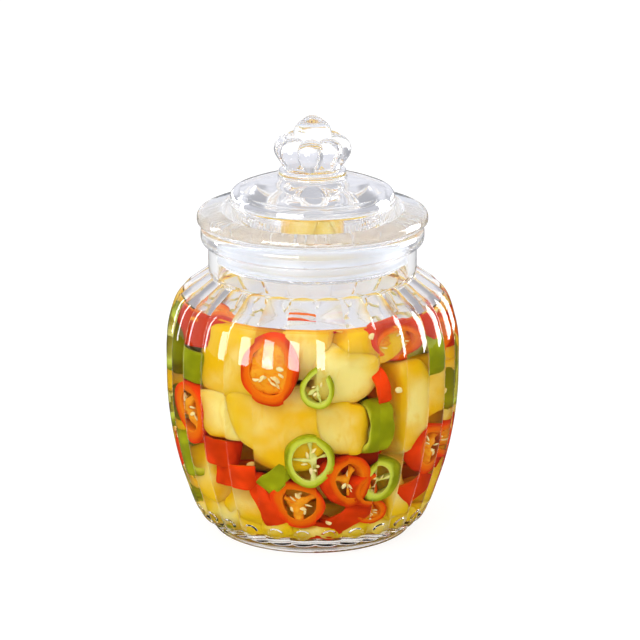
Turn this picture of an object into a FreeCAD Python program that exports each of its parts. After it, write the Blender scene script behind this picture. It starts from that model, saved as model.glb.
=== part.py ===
import FreeCAD, Part
import math
import os
import Sketcher

# Lidded glass jar: a gadrooned body on a foot ring, a stopper lid with a crown knob,
# the clear silicone seal between them, and the brine that fills the jar to its shoulder.
# Millimetres, +Z up, origin at the middle of the foot, front towards -Y.

SIZES = {
    # Outline of the jar along the crest of a lobe, from the foot up. A bend is rounded
    # by its reach: how far from the corner, along either side, the rounding starts.
    "belly_radius": 65.3,
    "belly_low": 41.6,
    "belly_high": 93.5,
    "flank_reach": 31.0,
    "belly_reach": 9.8,
    "heel_inset": 15.5,
    "heel_reach": 6.8,
    "foot_height": 3.1,
    "shoulder_inset": 5.5,
    "shoulder_height": 107.5,
    "shoulder_reach": 4.5,
    "neck_radius": 46.1,
    "neck_base": 117.4,
    # Foot ring and the hollow under it.
    "foot_inset": 5.2,
    "foot_edge": 1.1,
    "foot_width": 4.4,
    "punt_depth": 2.6,
    # Lobes pressed round the body.
    "lobe_count": 28,
    "lobe_depth": 1.55,
    "lobe_turn": 1.6,
    # Inside of the jar.
    "wall": 3.9,
    "shoulder_drop": 2.0,
    "heel_wall": 2.6,
    "heel_inner_reach": 5.2,
    "base_wall": 4.2,
    "floor_rise": 1.6,
    "neck_wall": 3.7,
    "neck_inner_reach": 2.0,
    # Mouth with its rolled bead.
    "bead_width": 3.3,
    "bead_height": 8.4,
    "bead_reach": 2.6,
    "mouth_height": 138.2,
    "lip_round": 1.0,
    # Seal: a sleeve round the plug, a flange under the lid and a stack of wiping fins.
    "flange_inset": 1.8,
    "flange_thickness": 1.2,
    "sleeve_wall": 1.9,
    "fin_count": 4,
    "fin_pitch": 4.1,
    "fin_first": 0.9,
    "fin_root": 1.7,
    "fin_tip": 0.5,
    "fin_lift": 0.4,
    "fin_clearance": 0.2,
    # Lid: rim, dome and the hollow plug that hangs into the neck.
    "rim_overhang": 1.6,
    "rim_edge_height": 4.7,
    "rim_top_reach": 2.2,
    "rim_under_reach": 1.7,
    "rim_rise": 5.0,
    "dome_radius": 36.4,
    "dome_side": 4.4,
    "dome_corner_reach": 3.2,
    "dome_waist": 24.2,
    "dome_waist_height": 19.0,
    "dome_waist_reach": 8.0,
    "dome_foot_reach": 1.0,
    "dome_top": 20.6,
    "plug_gap": 4.0,
    "plug_depth": 18.0,
    "plug_wall": 3.5,
    "plug_lip": 1.2,
    "plug_lip_height": 0.9,
    "ceiling_corner": 11.6,
    "ceiling_height": 15.6,
    "ceiling_reach": 4.0,
    # Knob: a collar, a ring of petals and a button on top, heights from the collar's foot.
    "collar_radius": 14.9,
    "collar_height": 3.6,
    "collar_round": 1.2,
    "knob_waist": 13.0,
    "petal_count": 8,
    "petal_turn": 4.0,
    "petal_ball": 6.3,
    "petal_ball_radius": 10.7,
    "petal_ball_height": 12.4,
    "petal_heel": 4.2,
    "petal_heel_radius": 9.4,
    "petal_heel_height": 6.4,
    "button_radius": 8.7,
    "button_foot": 18.3,
    "button_shoulder": 7.9,
    "button_shoulder_height": 22.4,
    "button_shoulder_reach": 2.2,
    "button_tip": 2.4,
    "button_tip_reach": 1.9,
    "knob_height": 27.0,
    # Brine.
    "fill_height": 104.0,
}


class Size:
    """A length together with the expression that gives it from the sheet."""

    def __init__(self, value, text):
        self.value = float(value)
        self.text = text

    @staticmethod
    def of(other):
        return other if isinstance(other, Size) else Size(other, repr(float(other)))

    def __add__(self, other):
        other = Size.of(other)
        return Size(self.value + other.value, f"({self.text} + {other.text})")

    def __sub__(self, other):
        other = Size.of(other)
        return Size(self.value - other.value, f"({self.text} - {other.text})")

    def __mul__(self, other):
        other = Size.of(other)
        return Size(self.value * other.value, f"({self.text} * {other.text})")

    def __truediv__(self, other):
        other = Size.of(other)
        return Size(self.value / other.value, f"({self.text} / {other.text})")


doc = FreeCAD.newDocument("glass_jar")
sheet = doc.addObject("Spreadsheet::Sheet", "Sizes")
for row, (alias, number) in enumerate(SIZES.items(), start=1):
    sheet.set(f"A{row}", alias)
    sheet.set(f"B{row}", str(number))
    sheet.setAlias(f"B{row}", alias)
doc.recompute()


def size(alias):
    """One cell of the sheet as a Size."""
    return Size(sheet.get(alias), f"Sizes.{alias}")


ZERO = Size(0.0, "0")


# ---------------------------------------------------------------- outlines and sketches

def corner_round(before, corner, after, reach):
    """Start, end and centre of the arc that rounds a corner, from its reach."""
    into = (before - corner).normalize()
    out = (after - corner).normalize()
    half = math.acos(into.dot(out)) / 2
    centre = corner + (into + out).normalize() * (reach / math.cos(half))
    return corner + into * reach, corner + out * reach, centre


def draw_outline(sketch, corners):
    """Draw a closed outline of (radius, height, reach) corners and bind every size in it.

    All three are Sizes; a sharp corner has None for its reach."""
    count = len(corners)
    points = [FreeCAD.Vector(r.value, z.value, 0) for r, z, _ in corners]
    starts, ends, centres = [], [], []
    for index, (_, _, reach) in enumerate(corners):
        if reach is None:
            starts.append(points[index])
            ends.append(points[index])
            centres.append(None)
            continue
        first, second, centre = corner_round(
            points[index - 1], points[index], points[(index + 1) % count], reach.value)
        starts.append(first)
        ends.append(second)
        centres.append(centre)
    lines = [sketch.addGeometry(Part.LineSegment(ends[i], starts[(i + 1) % count]), False)
             for i in range(count)]
    for index, (radius, height, reach) in enumerate(corners):
        before, after = lines[index - 1], lines[index]
        if reach is None:
            sketch.addConstraint(Sketcher.Constraint("Coincident", before, 2, after, 1))
            pin(sketch, after, 1, radius, height)
            continue
        mark = sketch.addGeometry(Part.Point(points[index]), True)
        sketch.addConstraint(Sketcher.Constraint("PointOnObject", mark, 1, before))
        sketch.addConstraint(Sketcher.Constraint("PointOnObject", mark, 1, after))
        pin(sketch, mark, 1, radius, height)
        add_round(sketch, before, after, starts[index], ends[index], centres[index])
        bind(sketch, ("Distance", mark, 1, before, 2), reach)


def bind(sketch, constraint, amount):
    """Add a dimension to the sketch and bind it to a Size."""
    index = sketch.addConstraint(Sketcher.Constraint(*constraint, amount.value))
    sketch.setExpression(f"Constraints[{index}]", amount.text)


def pin(sketch, geometry, position, radius, height):
    """Hold a point of the sketch at a bound radius and height."""
    for kind, axis, amount in (("DistanceX", -2, radius), ("DistanceY", -1, height)):
        if amount is ZERO:
            sketch.addConstraint(
                Sketcher.Constraint("PointOnObject", geometry, position, axis))
        else:
            bind(sketch, (kind, -1, 1, geometry, position), amount)


def add_round(sketch, before, after, start, end, centre):
    """Join two lines of the sketch by an arc tangent to both."""
    first = math.atan2(start.y - centre.y, start.x - centre.x)
    last = math.atan2(end.y - centre.y, end.x - centre.x)
    counterclockwise = (last - first) % (2 * math.pi) < math.pi
    low, high = (first, last) if counterclockwise else (last, first)
    circle = Part.Circle(centre, FreeCAD.Vector(0, 0, 1), centre.distanceToPoint(start))
    arc = sketch.addGeometry(Part.ArcOfCircle(circle, low, high), False)
    head, tail = (1, 2) if counterclockwise else (2, 1)
    sketch.addConstraint(Sketcher.Constraint("Tangent", before, 2, arc, head))
    sketch.addConstraint(Sketcher.Constraint("Tangent", arc, tail, after, 1))


def origin_part(body, role):
    """The plane or axis of a body's own origin that has this role."""
    return next(item for item in body.Origin.OriginFeatures if item.Role == role)


def new_body(label):
    body = doc.addObject("PartDesign::Body", label)
    body.Label = label
    return body


def upright_sketch(body, name):
    """A sketch on the XZ plane, whose x is the radius and y the height."""
    sketch = body.newObject("Sketcher::SketchObject", name)
    sketch.AttachmentSupport = [(origin_part(body, "XZ_Plane"), "")]
    sketch.MapMode = "FlatFace"
    return sketch


def turned(body, name, corners, kind="PartDesign::Revolution"):
    """Add (Revolution) or take away (Groove) an outline turned about the Z axis."""
    sketch = upright_sketch(body, f"{name}_outline")
    draw_outline(sketch, corners)
    feature = body.newObject(kind, name)
    feature.Profile = sketch
    feature.ReferenceAxis = (origin_part(body, "Z_Axis"), [""])
    feature.Angle = 360.0
    doc.recompute()
    return feature


# ---------------------------------------------------------------- the gadrooned blank

def crest_corners():
    """Corners of the body's outline along the crest of a lobe, from the heel to the neck."""
    belly = size("belly_radius")
    return [
        (belly - size("heel_inset"), size("foot_height"), size("heel_reach")),
        (belly, size("belly_low"), size("flank_reach")),
        (belly, size("belly_high"), size("belly_reach")),
        (belly - size("shoulder_inset"), size("shoulder_height"), size("shoulder_reach")),
    ]


def crest_curve():
    """Edges of the crest outline, run on past the neck's surface into its wall."""
    corners = [(FreeCAD.Vector(radius.value, height.value, 0), reach.value)
               for radius, height, reach in crest_corners()]
    shoulder = corners[-1][0]
    neck = FreeCAD.Vector(size("neck_radius").value, size("neck_base").value, 0)
    inside = neck + (neck - shoulder).normalize() * size("neck_wall").value / 2
    axis = FreeCAD.Vector(0, corners[0][0].y, 0)
    points = [axis] + [corner for corner, _ in corners] + [inside]
    edges = []
    last = axis
    for index, (corner, reach) in enumerate(corners, start=1):
        start, end, centre = corner_round(points[index - 1], corner, points[index + 1], reach)
        middle = centre + (corner - centre).normalize() * centre.distanceToPoint(start)
        edges.append(Part.LineSegment(last, start).toShape())
        edges.append(Part.Arc(start, middle, end).toShape())
        last = end
    edges.append(Part.LineSegment(last, inside).toShape())
    return edges


# Rings of the loft on each edge of the crest curve. The short straights that link the
# bends need none, and the heel's first ring is already clear of the foot.
RINGS_PER_EDGE = (0, 4, 0, 6, 1, 3, 0, 4, 3)
HEEL_EDGE = 1
HEEL_START = 0.25
LEAST_STEEPNESS = 0.55


def lobe_stations():
    """Places (radius, height, steepness) of the rings along the crest."""
    stations = []
    for index, edge in enumerate(crest_curve()):
        first, last = edge.FirstParameter, edge.LastParameter
        for ring in range(RINGS_PER_EDGE[index]):
            share = (ring + 0.5) / RINGS_PER_EDGE[index]
            if index == HEEL_EDGE:
                share = HEEL_START + (1 - HEEL_START) * share
            place = first + (last - first) * share
            stations.append((edge.valueAt(place), edge.tangentAt(place)))
    stations.append((edge.valueAt(last), edge.tangentAt(last)))
    return [(point.x, point.y, abs(heading.y)) for point, heading in stations]


def lobed_section(radius, height, depth):
    """A closed ring of convex arcs that meet in grooves."""
    count = int(size("lobe_count").value)
    pitch = 2 * math.pi / count
    first = math.radians(size("lobe_turn").value - 90)
    crease = radius - depth
    edges = []
    for lobe in range(count):
        start = first + lobe * pitch
        ends = [FreeCAD.Vector(crease * math.cos(turn), crease * math.sin(turn), height)
                for turn in (start, start + pitch)]
        middle = start + pitch / 2
        crest = FreeCAD.Vector(radius * math.cos(middle), radius * math.sin(middle), height)
        edges.append(Part.Arc(ends[0], crest, ends[1]).toShape())
    return Part.Wire(edges)


def gadrooned_blank():
    """The solid glass body with its lobes, lofted through lobed rings.

    The groove keeps its depth square to the glass, so the ring's own depth grows where
    the wall leans."""
    depth = size("lobe_depth").value
    belly = size("belly_radius").value
    rings = []
    for radius, height, steepness in lobe_stations():
        lean = 1 / max(steepness, LEAST_STEEPNESS)
        rings.append(lobed_section(radius, height, depth * radius / belly * lean))
    blank = doc.addObject("Part::Feature", "gadrooned_blank")
    blank.Shape = Part.makeLoft(rings, True, False)
    return blank


# ---------------------------------------------------------------- jar

def cavity_corners(top):
    """Outline of the space inside the jar, from the floor on the axis up to a given top."""
    belly = size("belly_radius") - size("wall")
    floor = size("foot_height") + size("base_wall")
    bore = size("neck_radius") - size("neck_wall")
    drop = size("shoulder_drop")
    heel = size("belly_radius") - size("heel_inset") - size("heel_wall")
    return [
        (ZERO, floor + size("floor_rise"), None),
        (heel, floor, size("heel_inner_reach")),
        (belly, size("belly_low"), size("flank_reach")),
        (belly, size("belly_high") - drop, size("belly_reach")),
        (belly - size("shoulder_inset"), size("shoulder_height") - drop,
         size("shoulder_reach")),
        (bore, size("neck_base") - drop, size("neck_inner_reach")),
        (bore, top, None),
        (ZERO, top, None),
    ]


def build_jar():
    """Blank, neck with bead and foot ring, hollowed out by the cavity and the punt."""
    jar = new_body("jar")
    jar.BaseFeature = gadrooned_blank()
    doc.recompute()
    neck = size("neck_radius")
    bore = neck - size("neck_wall")
    mouth = size("mouth_height")
    bead_foot = mouth - size("bead_height")
    lip = size("lip_round")
    # The neck starts well inside the shoulder, so that the lobes run into it.
    turned(jar, "neck", [
        (bore - 1, size("shoulder_height"), None),
        (neck, size("shoulder_height"), None),
        (neck, bead_foot, lip),
        (neck + size("bead_width"), bead_foot + lip, size("bead_reach")),
        (neck + size("bead_width"), mouth, size("bead_reach")),
        (bore - 1, mouth, None),
    ])
    foot = size("belly_radius") - size("heel_inset") - size("foot_inset")
    foot_top = size("foot_height") + size("base_wall") / 2
    turned(jar, "foot_ring", [
        (ZERO, ZERO, None),
        (foot, ZERO, size("foot_edge")),
        (foot, foot_top, None),
        (ZERO, foot_top, None),
    ])
    turned(jar, "cavity", cavity_corners(mouth + 1), "PartDesign::Groove")
    turned(jar, "mouth_flare", [
        (bore - 1, mouth - lip * 2, None),
        (bore, mouth - lip * 2, None),
        (bore + lip, mouth, None),
        (bore + lip, mouth + 1, None),
        (bore - 1, mouth + 1, None),
    ], "PartDesign::Groove")
    contact = foot - size("foot_width")
    punt = size("punt_depth")
    turned(jar, "punt", [
        (ZERO, ZERO - 1, None),
        (contact, ZERO - 1, None),
        (contact, ZERO, punt / 4),
        (contact - punt, punt, punt),
        (ZERO, punt, None),
    ], "PartDesign::Groove")
    return jar


# ---------------------------------------------------------------- brine

def build_brine():
    """What fills the cavity, up to the fill height."""
    brine = new_body("brine")
    top = size("mouth_height")
    turned(brine, "filled_cavity", cavity_corners(top))
    turned(brine, "headspace", [
        (ZERO, size("fill_height"), None),
        (size("belly_radius"), size("fill_height"), None),
        (size("belly_radius"), top + 1, None),
        (ZERO, top + 1, None),
    ], "PartDesign::Groove")
    return brine


# ---------------------------------------------------------------- lid

def build_lid():
    """Rim, dome, hollow plug and knob core in one outline, and the petals set round it."""
    lid = new_body("lid")
    seat = size("mouth_height") + size("flange_thickness")
    rim = size("neck_radius") + size("bead_width") + size("rim_overhang")
    rim_edge = seat + size("rim_edge_height")
    dome = size("dome_radius")
    dome_foot = rim_edge + size("rim_rise")
    collar_foot = seat + size("dome_top")
    collar_top = collar_foot + size("collar_height")
    knob_top = collar_foot + size("knob_height")
    plug = size("neck_radius") - size("neck_wall") - size("plug_gap")
    inner = plug - size("plug_wall")
    plug_end = seat - size("plug_depth")
    lip = size("plug_lip")
    turned(lid, "shell", [
        (ZERO, knob_top, None),
        (size("button_tip"), knob_top, size("button_tip_reach")),
        (size("button_shoulder"), collar_foot + size("button_shoulder_height"),
         size("button_shoulder_reach")),
        (size("button_radius"), collar_foot + size("button_foot"), None),
        (size("knob_waist"), collar_top + lip, None),
        (size("knob_waist"), collar_top, None),
        (size("collar_radius"), collar_top, size("collar_round")),
        (size("collar_radius"), collar_foot, size("collar_round")),
        (size("dome_waist"), seat + size("dome_waist_height"), size("dome_waist_reach")),
        (dome, dome_foot + size("dome_side"), size("dome_corner_reach")),
        (dome, dome_foot, size("dome_foot_reach")),
        (rim, rim_edge, size("rim_top_reach")),
        (rim, seat, size("rim_under_reach")),
        (plug, seat, None),
        (plug, plug_end + size("plug_lip_height") * 2, None),
        (plug + lip, plug_end + size("plug_lip_height"), None),
        (plug + lip, plug_end, lip / 2),
        (inner, plug_end, lip),
        (inner, seat + size("ceiling_corner"), size("ceiling_reach")),
        (ZERO, seat + size("ceiling_height"), None),
    ])
    petal = add_petal(lid, collar_foot)
    ring = lid.newObject("PartDesign::PolarPattern", "petals")
    ring.Originals = [petal]
    ring.Axis = (origin_part(lid, "Z_Axis"), [""])
    ring.Angle = 360.0
    ring.setExpression("Occurrences", "Sizes.petal_count")
    lid.Tip = ring
    doc.recompute()
    return lid


def add_petal(lid, foot):
    """One petal of the crown: a small and a large ball in one skin, turned about an axis
    that leans outwards."""
    sketch = upright_sketch(lid, "petal_outline")
    turn = FreeCAD.Rotation(FreeCAD.Vector(0, 1, 0), -size("petal_turn").value)
    sketch.AttachmentOffset = FreeCAD.Placement(FreeCAD.Vector(), turn)
    sketch.setExpression("AttachmentOffset.Rotation.Angle", "Sizes.petal_turn * -1deg")
    balls = (
        (size("petal_heel_radius"), foot + size("petal_heel_height"), size("petal_heel")),
        (size("petal_ball_radius"), foot + size("petal_ball_height"), size("petal_ball")),
    )
    low, high = [FreeCAD.Vector(radius.value, height.value, 0) for radius, height, _ in balls]
    small, large = [ball.value for _, _, ball in balls]
    rise = high - low
    lean = math.atan2(rise.y, rise.x)
    # Where the straight skin leaves each ball, as an angle from the leaning axis.
    side = lean - math.acos((small - large) / rise.Length)
    along = rise.normalize()
    outward = FreeCAD.Vector(math.cos(side), math.sin(side), 0)
    upright = FreeCAD.Vector(0, 0, 1)
    heel = sketch.addGeometry(Part.ArcOfCircle(
        Part.Circle(low, upright, small), lean - math.pi, side), False)
    skin = sketch.addGeometry(Part.LineSegment(
        low + outward * small, high + outward * large), False)
    cap = sketch.addGeometry(Part.ArcOfCircle(
        Part.Circle(high, upright, large), side, lean), False)
    spine = sketch.addGeometry(Part.LineSegment(
        high + along * large, low - along * small), False)
    axle = sketch.addGeometry(Part.LineSegment(
        high + along * large, low - along * small), True)
    for constraint in (
            ("Tangent", heel, 2, skin, 1),
            ("Tangent", skin, 2, cap, 1),
            ("Coincident", cap, 2, spine, 1),
            ("Coincident", spine, 2, heel, 1),
            ("Coincident", axle, 1, spine, 1),
            ("Coincident", axle, 2, spine, 2),
            ("PointOnObject", heel, 3, spine),
            ("PointOnObject", cap, 3, spine)):
        sketch.addConstraint(Sketcher.Constraint(*constraint))
    for arc, (radius, height, ball) in zip((heel, cap), balls):
        pin(sketch, arc, 3, radius, height)
        bind(sketch, ("Radius", arc), ball)
    petal = lid.newObject("PartDesign::Revolution", "petal")
    petal.Profile = sketch
    petal.ReferenceAxis = (sketch, ["Axis0"])
    petal.Angle = 360.0
    doc.recompute()
    return petal


# ---------------------------------------------------------------- seal

def build_seal():
    """Silicone sleeve with a flange on the mouth and fins that wipe the bore."""
    seal = new_body("seal")
    mouth = size("mouth_height")
    seat = mouth + size("flange_thickness")
    bore = size("neck_radius") - size("neck_wall")
    plug = bore - size("plug_gap")
    sleeve = plug + size("sleeve_wall")
    sleeve_foot = seat - size("plug_depth") + size("plug_lip_height") * 2
    flange = size("neck_radius") + size("bead_width") - size("flange_inset")
    turned(seal, "sleeve", [
        (plug, sleeve_foot, None),
        (sleeve, sleeve_foot, None),
        (sleeve, mouth, None),
        (flange, mouth, None),
        (flange, seat, None),
        (plug, seat, None),
    ])
    wipe = bore - size("fin_clearance")
    root = sleeve_foot + size("fin_first")
    fin = turned(seal, "fin", [
        (plug + size("sleeve_wall") / 2, root, None),
        (sleeve, root, None),
        (wipe, root + size("fin_lift"), None),
        (wipe, root + size("fin_lift") + size("fin_tip"), None),
        (sleeve, root + size("fin_root"), None),
        (plug + size("sleeve_wall") / 2, root + size("fin_root"), None),
    ])
    stack = seal.newObject("PartDesign::LinearPattern", "fins")
    stack.Originals = [fin]
    stack.Direction = (origin_part(seal, "Z_Axis"), [""])
    stack.setExpression("Length", "(Sizes.fin_count - 1) * Sizes.fin_pitch")
    stack.setExpression("Occurrences", "Sizes.fin_count")
    seal.Tip = stack
    doc.recompute()
    return seal


# ---------------------------------------------------------------- build, check, write

NODES = [build_jar(), build_brine(), build_lid(), build_seal()]
doc.recompute()
for item in doc.Objects:
    if "Invalid" in item.State or "Error" in item.State:
        raise RuntimeError(f"{item.Name} failed: {item.State}")
    if item.TypeId == "Sketcher::SketchObject" and not item.FullyConstrained:
        raise RuntimeError(f"{item.Name} is not fully constrained")
for node in NODES:
    shape = node.Shape
    if shape.isNull() or not shape.isValid() or len(shape.Solids) != 1:
        raise RuntimeError(f"{node.Label} is not one sound solid")
os.makedirs("parts", exist_ok=True)
for node in NODES:
    node.Shape.exportStep(f"parts/{node.Label}.step")
    box = node.Shape.optimalBoundingBox()
    print(f"{node.Label}: {node.Shape.Volume / 1000:.1f} ml, "
          f"{box.XLength:.1f} x {box.YLength:.1f} x {box.ZLength:.1f} mm")
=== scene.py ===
"""Lidded gadrooned glass jar of pickled fruit and chillies.

Finishes the jar, lid and seal, fills the jar with golden brine, and sinks fruit
chunks, chilli slices and seeds in it. The studio is a plain white one.
"""

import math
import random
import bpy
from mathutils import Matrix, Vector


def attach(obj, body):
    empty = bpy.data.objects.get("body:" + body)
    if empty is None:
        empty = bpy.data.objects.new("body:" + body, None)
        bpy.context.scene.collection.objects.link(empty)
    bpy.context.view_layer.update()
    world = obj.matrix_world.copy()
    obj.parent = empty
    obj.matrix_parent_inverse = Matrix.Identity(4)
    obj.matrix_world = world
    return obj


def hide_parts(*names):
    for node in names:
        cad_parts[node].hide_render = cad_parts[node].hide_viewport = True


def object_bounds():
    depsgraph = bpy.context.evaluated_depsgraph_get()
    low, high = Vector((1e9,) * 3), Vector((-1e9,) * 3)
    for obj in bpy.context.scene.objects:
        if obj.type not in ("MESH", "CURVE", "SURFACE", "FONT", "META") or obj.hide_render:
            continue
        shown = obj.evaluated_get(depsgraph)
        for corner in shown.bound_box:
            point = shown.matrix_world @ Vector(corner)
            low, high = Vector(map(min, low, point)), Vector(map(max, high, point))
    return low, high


bl_info = {
    "name": "Pickle Jar",
    "version": (1, 0, 0),
    "blender": (4, 5, 0),
    "location": "View3D > Sidebar > Pickle Jar",
    "description": "Clear glass, golden brine and pickle pieces for a lidded gadrooned jar",
    "category": "Object",
}

import bmesh
import bpy
from bpy.props import (
    FloatProperty,
    FloatVectorProperty,
    IntProperty,
    PointerProperty,
)
from mathutils import Matrix, Vector, noise

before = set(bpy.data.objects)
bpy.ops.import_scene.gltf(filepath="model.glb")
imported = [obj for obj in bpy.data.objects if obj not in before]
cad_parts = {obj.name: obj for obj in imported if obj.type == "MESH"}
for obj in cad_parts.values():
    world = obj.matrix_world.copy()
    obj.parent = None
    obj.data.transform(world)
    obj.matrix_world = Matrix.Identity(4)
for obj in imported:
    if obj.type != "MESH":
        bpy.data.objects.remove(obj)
CAD_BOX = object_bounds()
MM = 0.001

# The jar's upright lobes: how many there are, and the direction of one lobe's middle.
LOBES = 28
LOBE_TURN = math.radians(-82.0)
# Where the wall's inside is read, as parts of the brine's depth.
WALL_PARTS = (0.0, 0.01, 0.03, 0.06, 0.1, 0.16, 0.24, 0.33, 0.5, 0.7, 0.8, 0.87, 0.92, 0.96, 1.0)
# A ramp's colours stop at 1, so it holds radii this many times larger than they are.
RAMP_SCALE = 10
# How often light may bounce in all, and after how many bounces clear pieces let it go.
BOUNCES = 24
TRAPPED = 11


# ---------------------------------------------------------------- shader maths


class Value:
    """One output of a material's nodes. Sums on it add Math nodes."""

    def __init__(self, nodes, socket):
        self.nodes = nodes
        self.socket = socket

    def maths(self, operation, *others):
        return self.nodes.add(
            "ShaderNodeMath", {"operation": operation}, dict(enumerate((self, *others)))
        )

    def __add__(self, other):
        return self.maths("ADD", other)

    def __sub__(self, other):
        return self.maths("SUBTRACT", other)

    def __mul__(self, other):
        return self.maths("MULTIPLY", other)

    def __radd__(self, other):
        return self.nodes.number("ADD", other, self)

    def __rsub__(self, other):
        return self.nodes.number("SUBTRACT", other, self)

    def __rmul__(self, other):
        return self.nodes.number("MULTIPLY", other, self)


class Nodes:
    """The nodes of one material or world, added one at a time."""

    def __init__(self, owner):
        owner.use_nodes = True
        self.tree = owner.node_tree
        self.tree.nodes.clear()

    def add(self, kind, settings=None, sockets=None, output=0):
        """Adds a node: its settings first, then the values or links of its sockets."""
        node = self.tree.nodes.new(kind)
        for key, value in (settings or {}).items():
            if key == "stops":
                ramp = node.color_ramp
                while len(ramp.elements) < len(value):
                    ramp.elements.new(0.5)
                for element, (position, colour) in zip(ramp.elements, value):
                    element.position = position
                    element.color = (*colour, 1.0)
            else:
                setattr(node, key, value)
        for key, value in (sockets or {}).items():
            if isinstance(value, Value):
                self.tree.links.new(value.socket, node.inputs[key])
            else:
                node.inputs[key].default_value = value
        return Value(self, node.outputs[output]) if node.outputs else node

    def number(self, operation, *values):
        return self.add("ShaderNodeMath", {"operation": operation}, dict(enumerate(values)))

    def smooth(self, value, low, high):
        """0 below low, 1 above high, and an easy slope between."""
        return self.add(
            "ShaderNodeMapRange",
            {"interpolation_type": "SMOOTHSTEP"},
            {"Value": value, "From Min": low, "From Max": high},
        )

    def blend(self, factor, first, second):
        """A colour between two colours."""
        return self.add(
            "ShaderNodeMix",
            {"data_type": "RGBA"},
            {0: factor, 6: colour(first), 7: colour(second)},
            output=2,
        )

    def grain(self, scale, detail=3.0, stretch=None, distortion=0.0):
        """Noise on the piece's own coordinates, about scale patches to the metre."""
        place = self.add("ShaderNodeTexCoord", output="Object")
        if stretch:
            place = self.add("ShaderNodeMapping", None, {"Vector": place, "Scale": stretch})
        return self.add(
            "ShaderNodeTexNoise",
            None,
            {"Vector": place, "Scale": scale, "Detail": detail, "Distortion": distortion},
        )

    def ramp_along(self, value, low, high):
        """0 at low and 1 at high, straight between."""
        return self.add(
            "ShaderNodeMapRange", None, {"Value": value, "From Min": low, "From Max": high}
        )

    def attribute(self, name):
        return self.add("ShaderNodeAttribute", {"attribute_name": name}, output="Fac")

    def parts(self, vector):
        """The three numbers of a vector."""
        split = self.add("ShaderNodeSeparateXYZ", None, {0: vector})
        return [Value(self, output) for output in split.socket.node.outputs]

    def place(self):
        """A point's own place on the piece: across, along and up."""
        return self.parts(self.add("ShaderNodeTexCoord", output="Object"))

    def ray(self, question):
        """What the light path answers about the ray that meets the surface."""
        return self.add("ShaderNodeLightPath", output=question)

    def bump(self, height, distance, strength=1.0):
        return self.add(
            "ShaderNodeBump",
            None,
            {"Height": height, "Distance": distance, "Strength": strength},
        )

    def principled(self, sockets):
        return self.add("ShaderNodeBsdfPrincipled", None, sockets)

    def mix(self, factor, first, second):
        """A surface between two surfaces."""
        return self.add("ShaderNodeMixShader", None, {0: factor, 1: first, 2: second})

    def output(self, surface, volume=None):
        sockets = {"Surface": surface}
        if volume:
            sockets["Volume"] = volume
        self.add("ShaderNodeOutputMaterial", None, sockets)


def colour(value):
    return value if isinstance(value, Value) else (*tuple(value)[:3], 1.0)


def grey(level):
    return (level, level, level, 1.0)


def new_finish(name):
    finish = bpy.data.materials.new(name)
    return finish, Nodes(finish)


def see_through(nodes, surface):
    """Lets the lamps and the room's soft light in through a clear surface, and trapped light out."""
    lit = nodes.ray("Is Shadow Ray").maths("MAXIMUM", nodes.ray("Is Diffuse Ray"))
    trapped = nodes.ray("Ray Depth").maths("GREATER_THAN", TRAPPED + 0.5)
    open_air = nodes.add("ShaderNodeBsdfTransparent")
    return nodes.mix(lit.maths("MAXIMUM", trapped), surface, open_air)


def first_mirror(nodes):
    """1 for what the glass mirrors straight to the eye, 0 for all other light."""
    mirror = nodes.ray("Is Glossy Ray") * (1.0 - nodes.ray("Is Transmission Ray"))
    return mirror * nodes.ray("Ray Depth").maths("LESS_THAN", 1.5)


def from_axis(across, along):
    """How far a point is from the jar's upright axis."""
    return (across * across + along * along).maths("SQRT")


def shaded(tint, by, lift=0.0):
    """A tint made lighter or darker."""
    return tuple(min(1, part * by + lift) for part in tint)


# ---------------------------------------------------------------- modelling


def deselect():
    for item in bpy.context.selected_objects:
        item.select_set(False)


def only(piece):
    deselect()
    piece.select_set(True)
    bpy.context.view_layer.objects.active = piece


def edit(piece):
    only(piece)
    bpy.ops.object.mode_set(mode="EDIT")
    bpy.ops.mesh.select_mode(type="FACE")
    bpy.ops.mesh.select_all(action="SELECT")


def leave():
    bpy.ops.object.mode_set(mode="OBJECT")


def pick(piece, wanted):
    """Selects only the faces for which wanted(face) holds."""
    bpy.ops.mesh.select_mode(type="FACE")
    bpy.ops.mesh.select_all(action="DESELECT")
    mesh = bmesh.from_edit_mesh(piece.data)
    for face in mesh.faces:
        face.select_set(bool(wanted(face)))
    bmesh.update_edit_mesh(piece.data)


def pick_rims():
    bpy.ops.mesh.select_all(action="DESELECT")
    bpy.ops.mesh.select_mode(type="EDGE")
    other_kinds = ("use_wire", "use_multi_face", "use_non_contiguous", "use_verts")
    bpy.ops.mesh.select_non_manifold(extend=False, **dict.fromkeys(other_kinds, False))


def settle(piece):
    """Puts the piece's place and turn into its mesh."""
    only(piece)
    bpy.ops.object.transform_apply(location=True, rotation=True, scale=True)


def finish_with(piece, kind, **settings):
    modifier = piece.modifiers.new(kind.title(), kind)
    for key, value in settings.items():
        setattr(modifier, key, value)
    only(piece)
    bpy.ops.object.modifier_apply(modifier=modifier.name)


def subdivide(piece, levels):
    finish_with(piece, "SUBSURF", levels=levels, render_levels=levels)


def tidy(piece, angle=50.0):
    """Merges doubles, turns the faces outwards and smooths the piece."""
    edit(piece)
    bpy.ops.mesh.remove_doubles(threshold=0.000005)
    bpy.ops.mesh.normals_make_consistent(inside=False)
    leave()
    bpy.ops.object.shade_smooth_by_angle(angle=math.radians(angle))


def join(pieces, name):
    """Joins pieces into the first one and names it."""
    deselect()
    for piece in pieces:
        piece.select_set(True)
    bpy.context.view_layer.objects.active = pieces[0]
    if len(pieces) > 1:
        bpy.ops.object.join()
    pieces[0].name = name
    pieces[0].data.name = name
    return pieces[0]


def paint(piece, name, shade):
    """Stores shade(place) on every point of the piece, as a named attribute."""
    layer = piece.data.attributes.new(name, "FLOAT", "POINT")
    for point, vertex in zip(layer.data, piece.data.vertices):
        point.value = shade(vertex.co)


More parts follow.
